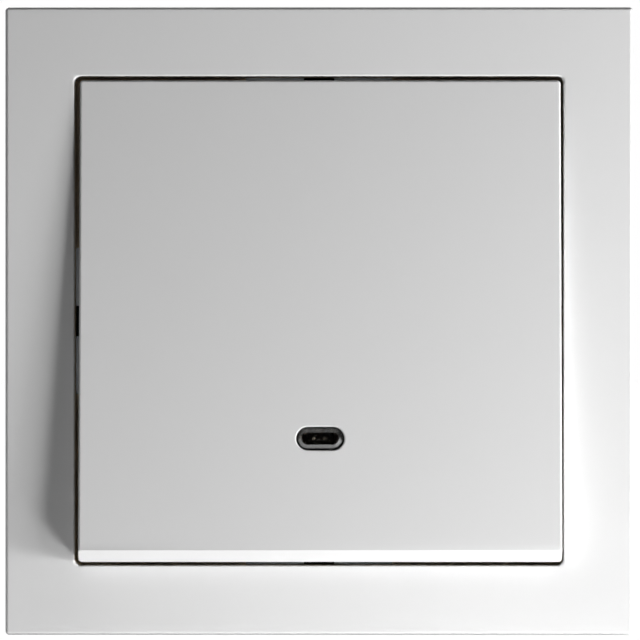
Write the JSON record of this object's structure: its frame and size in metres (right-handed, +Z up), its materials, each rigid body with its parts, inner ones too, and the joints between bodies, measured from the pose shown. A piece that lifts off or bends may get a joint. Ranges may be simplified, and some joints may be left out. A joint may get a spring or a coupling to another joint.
{
  "type": "illuminated light switch",
  "caption": "Square flush wall switch with one large rocker, a clear indicator window, a steel support plate and a deep insert with contacts, claws and lamp",
  "frame": {"origin": "centre of the support plate's back face, which lies in the wall plane, on the axis of the wall box", "axes": "+X right as seen from the room, +Y into the wall, +Z up"},
  "size_m": [0.0804, 0.0376, 0.0804],
  "materials": {
    "white_gloss": "moulded, glossy pure white",
    "white_matte": "moulded, fine satin white",
    "dark_housing": "moulded glass-filled, matt dark grey",
    "clear_lens": "clear moulded plastic, polished",
    "lamp_holder": "moulded brown",
    "zinc_plated_steel": "zinc plated sheet",
    "screw_steel": "plated",
    "rivet_brass": "bright",
    "busbar_brass": "bright rolled strip",
    "contact_silver": "silver, satin",
    "spring_steel": "drawn",
    "plunger_plastic": "natural acetal",
    "lever_plastic": "moulded orange",
    "lamp_glass": "clear blown glass",
    "lead_wire": "tinned wire",
    "resistor_body": "lacquered"
  },
  "bodies": {
    "insert": {"cover_frame": "white_gloss", "support_plate": "zinc_plated_steel", "insert_base": "dark_housing", "insert_cover": "white_matte", "rear_cover": "dark_housing", "housing_rivets": "rivet_brass", "fixed_contacts": "contact_silver", "common_busbar": "busbar_brass", "upper_busbar": "busbar_brass", "lower_busbar": "busbar_brass", "lamp_holder": "lamp_holder", "lamp_bulb": "lamp_glass", "lamp_leads": "lead_wire", "lamp_resistor": "resistor_body", "lamp_pins": "busbar_brass", "common_clamp_spring": "spring_steel", "upper_clamp_spring": "spring_steel", "lower_clamp_spring": "spring_steel"},
    "rocker": {"rocker": "white_gloss", "lens": "clear_lens", "toggle": "white_matte", "plunger_spring": "spring_steel"},
    "plunger": {"plunger": "plunger_plastic"},
    "seesaw": {"contact_seesaw": "busbar_brass", "moving_contacts": "contact_silver"},
    "common_lever": {"common_release_lever": "lever_plastic"},
    "upper_lever": {"upper_release_lever": "lever_plastic"},
    "lower_lever": {"lower_release_lever": "lever_plastic"},
    "left_screw": {"left_claw_screw": "screw_steel"},
    "right_screw": {"right_claw_screw": "screw_steel"},
    "left_claw": {"left_claw": "zinc_plated_steel"},
    "right_claw": {"right_claw": "zinc_plated_steel"}
  },
  "joints": [
    {"name": "rocker_tilt", "type": "hinge", "parent": "insert", "child": "rocker", "pos_m": [0, -0.006, 0], "axis": [1, 0, 0], "range_deg": [0, 7]},
    {"name": "seesaw_tilt", "type": "hinge", "parent": "insert", "child": "seesaw", "pos_m": [0, 0.00745, 0], "axis": [1, 0, 0], "range_deg": [-14, 0]},
    {"name": "plunger_slide", "type": "slide", "parent": "rocker", "child": "plunger", "axis": [0, 0.9981, -0.061], "range_m": [-0.001, 0], "stiffness_N_per_m": 500, "deforming": ["plunger_spring"]},
    {"name": "common_lever_press", "type": "slide", "parent": "insert", "child": "common_lever", "axis": [0, -1, 0], "range_m": [0, 0.0012], "stiffness_N_per_m": 1000, "deforming": ["common_clamp_spring"]},
    {"name": "upper_lever_press", "type": "slide", "parent": "insert", "child": "upper_lever", "axis": [0, -1, 0], "range_m": [0, 0.0012], "stiffness_N_per_m": 1000, "deforming": ["upper_clamp_spring"]},
    {"name": "lower_lever_press", "type": "slide", "parent": "insert", "child": "lower_lever", "axis": [0, -1, 0], "range_m": [0, 0.0012], "stiffness_N_per_m": 1000, "deforming": ["lower_clamp_spring"]},
    {"name": "left_screw_turn", "type": "hinge", "parent": "insert", "child": "left_screw", "pos_m": [-0.0235, 0, 0], "axis": [0, 1, 0], "range_deg": [0, 3600]},
    {"name": "left_claw_travel", "type": "slide", "parent": "insert", "child": "left_claw", "axis": [0, -1, 0], "range_m": [0, 0.006]},
    {"name": "right_screw_turn", "type": "hinge", "parent": "insert", "child": "right_screw", "pos_m": [0.0235, 0, 0], "axis": [0, 1, 0], "range_deg": [0, 3600]},
    {"name": "right_claw_travel", "type": "slide", "parent": "insert", "child": "right_claw", "axis": [0, -1, 0], "range_m": [0, 0.006]}
  ],
  "couplings": [
    {"joint": "seesaw_tilt", "follows": "rocker_tilt", "ratio": -2},
    {"joint": "left_screw_turn", "follows": "left_claw_travel", "rad_per_m": 10472},
    {"joint": "right_screw_turn", "follows": "right_claw_travel", "rad_per_m": 10472}
  ]
}
